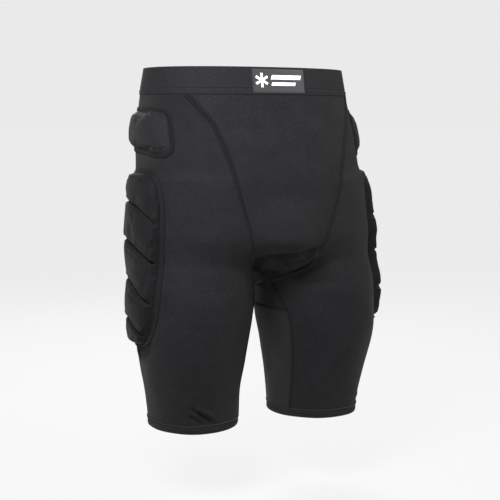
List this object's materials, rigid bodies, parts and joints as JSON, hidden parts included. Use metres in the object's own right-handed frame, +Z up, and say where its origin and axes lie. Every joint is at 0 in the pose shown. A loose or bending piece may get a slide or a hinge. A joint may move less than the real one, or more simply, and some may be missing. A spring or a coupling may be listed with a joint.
{
  "type": "padded impact shorts",
  "caption": "Close-fitting protective shorts with a wide elastic waistband, soft foam pads on the hips, thighs, seat and tailbone, and legs that flex at the hips.",
  "frame": {"origin": "centre of the waist opening, level with the waistband's top edge", "axes": "+Z up, -Y towards the wearer's front, -X towards the wearer's right"},
  "size_m": [0.3756, 0.2627, 0.492],
  "materials": {
    "body_fabric": "matt stretch knit",
    "pad_fabric": "matt stretch knit over foam",
    "hip_pad_fabric": "matt stretch knit over foam",
    "mesh_fabric": "ribbed mesh knit",
    "waist_elastic": "ribbed elastic webbing",
    "patch_fabric": "smooth woven patch",
    "pad_foam": "closed-cell foam"
  },
  "bodies": {
    "pelvis_part": {"waistband_elastic": "waist_elastic", "waistband_patch": "patch_fabric", "front_centre_panel": "body_fabric", "crotch_gusset": "body_fabric", "tailbone_pad_cover": "pad_fabric", "tailbone_pad_foam": "pad_foam", "right_hip_panel": "body_fabric", "right_hip_pad_cover": "hip_pad_fabric", "right_hip_pad_foam": "pad_foam", "left_hip_panel": "body_fabric", "left_hip_pad_cover": "hip_pad_fabric", "left_hip_pad_foam": "pad_foam"},
    "right_leg": {"right_thigh_panel": "body_fabric", "right_inner_thigh_mesh": "mesh_fabric", "right_hem_band": "body_fabric", "right_thigh_pad_cover": "pad_fabric", "right_thigh_pad_foam_1": "pad_foam", "right_thigh_pad_foam_2": "pad_foam", "right_thigh_pad_foam_3": "pad_foam", "right_thigh_pad_foam_4": "pad_foam", "right_thigh_pad_foam_5": "pad_foam", "right_seat_pad_cover": "pad_fabric", "right_seat_pad_foam": "pad_foam"},
    "left_leg": {"left_thigh_panel": "body_fabric", "left_inner_thigh_mesh": "mesh_fabric", "left_hem_band": "body_fabric", "left_thigh_pad_cover": "pad_fabric", "left_thigh_pad_foam_1": "pad_foam", "left_thigh_pad_foam_2": "pad_foam", "left_thigh_pad_foam_3": "pad_foam", "left_thigh_pad_foam_4": "pad_foam", "left_thigh_pad_foam_5": "pad_foam", "left_seat_pad_cover": "pad_fabric", "left_seat_pad_foam": "pad_foam"}
  },
  "joints": [
    {"name": "right_hip_flex", "type": "hinge", "parent": "pelvis_part", "child": "right_leg", "pos_m": [-0.09, -0.025, -0.29], "axis": [-1, 0, 0], "range_deg": [-8, 34], "stiffness_Nm_per_rad": 0.5},
    {"name": "left_hip_flex", "type": "hinge", "parent": "pelvis_part", "child": "left_leg", "pos_m": [0.09, -0.025, -0.29], "axis": [-1, 0, 0], "range_deg": [-8, 34], "stiffness_Nm_per_rad": 0.5}
  ]
}
